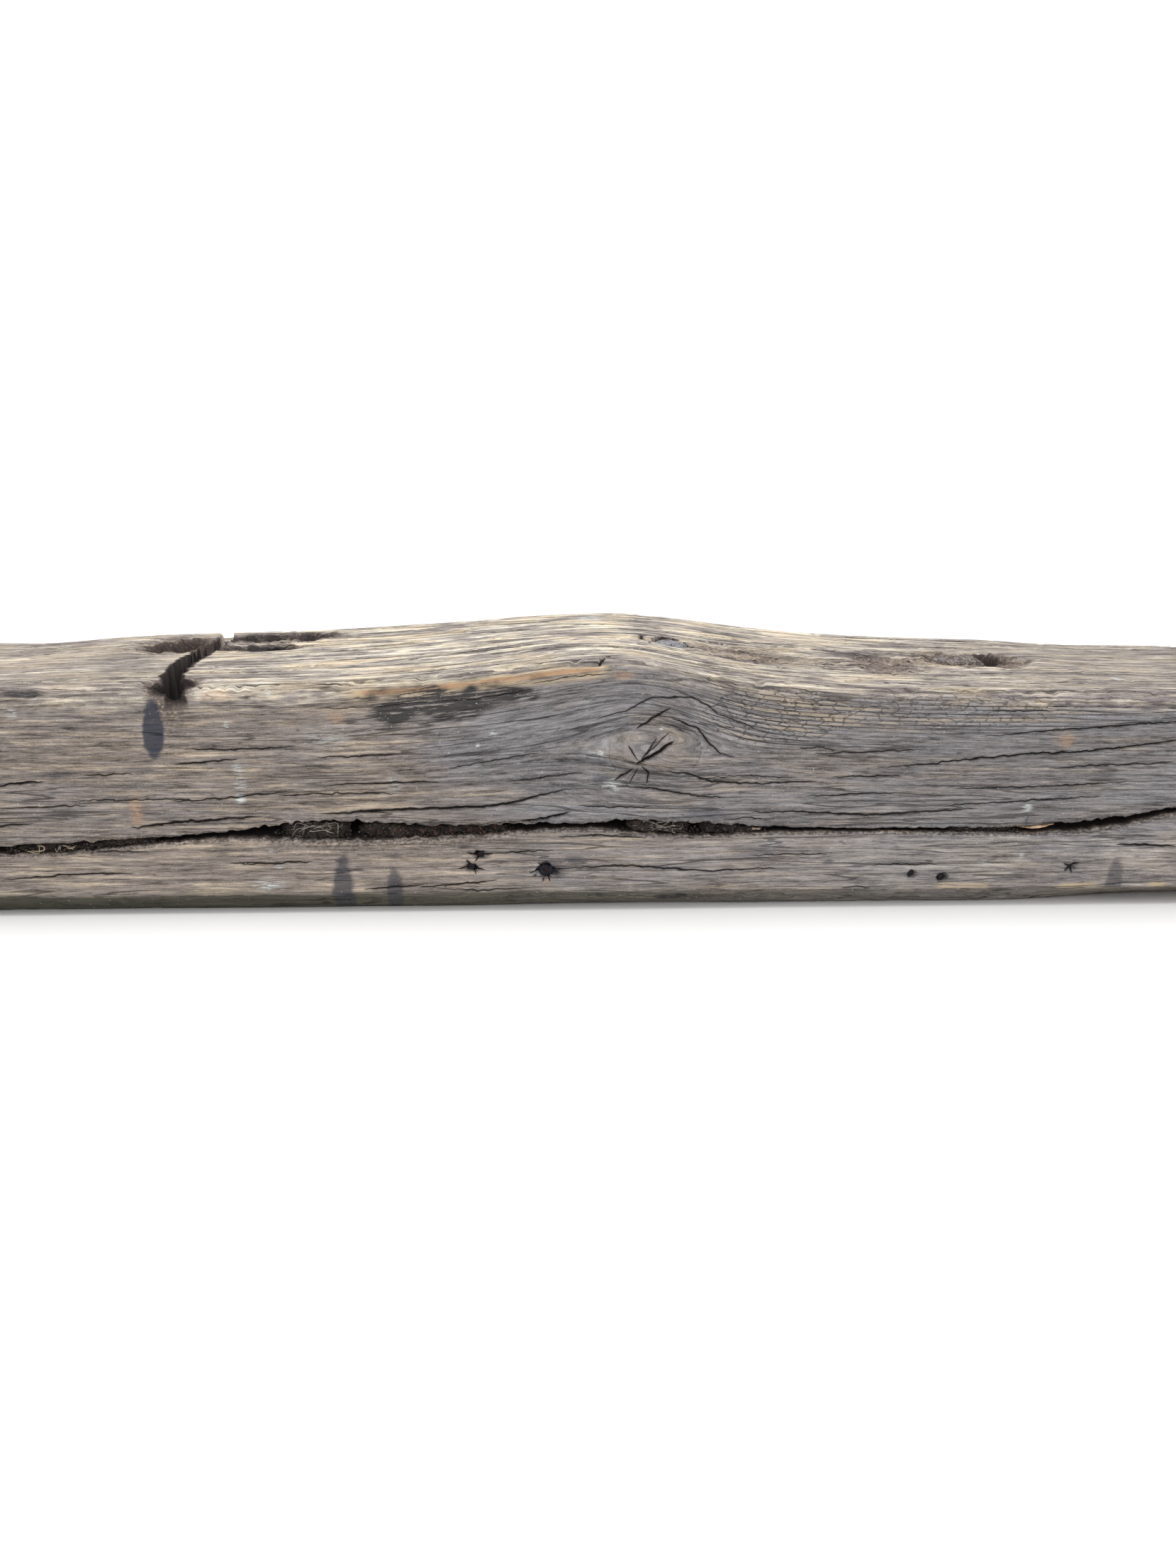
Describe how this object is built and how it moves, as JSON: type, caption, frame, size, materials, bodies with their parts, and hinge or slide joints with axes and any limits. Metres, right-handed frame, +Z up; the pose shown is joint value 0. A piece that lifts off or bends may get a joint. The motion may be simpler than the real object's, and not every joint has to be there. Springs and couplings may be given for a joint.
{
  "type": "scaffold sole plank",
  "caption": "Weathered hardwood baulk used as a scaffold plank or sole board, with a hump over a knot, a long packed shake, a sawn slot and rotted hollows in its top.",
  "frame": {"origin": "middle of the underside, where the plank rests", "axes": "+X along the plank, -Y out of the front face with the knot and the nail holes, +Z up"},
  "size_m": [1.2, 0.25, 0.1765],
  "materials": {
    "upper_wood": "weathered grey-brown, bleached on top",
    "lower_wood": "weathered brown, green-grey along its lower front arris",
    "knot_wood": "weathered end grain with radial cracks",
    "grey_knot_wood": "bleached grey end grain",
    "rotted_wood": "crumbling, matt",
    "fresh_splinter": "freshly torn, matt",
    "soil": "dark crumbling soil, matt",
    "dry_grass": "dry straw, matt",
    "pale_root": "fine pale roots, matt",
    "rusted_iron": "black-brown rust, rough"
  },
  "bodies": {
    "root": {"upper_limb": "upper_wood", "lower_limb": "lower_wood", "front_knot": "knot_wood", "top_knot": "grey_knot_wood", "rotted_knot_stub": "rotted_wood", "lodged_splinter": "fresh_splinter", "soil_left_end": "soil", "soil_root_clump": "soil", "soil_red_rot": "soil", "soil_knot_pocket": "soil", "soil_right_of_pocket": "soil", "soil_right_end": "soil", "grass_loop": "dry_grass", "grass_strands": "dry_grass", "pale_stalk": "dry_grass", "rootlets_left": "pale_root", "rootlets_pocket": "pale_root", "rusted_spike_stub": "rusted_iron", "nail_stub_left": "rusted_iron", "nail_stub_upper": "rusted_iron", "nail_stub_right": "rusted_iron", "nail_stub_far_right": "rusted_iron"}
  },
  "joints": []
}
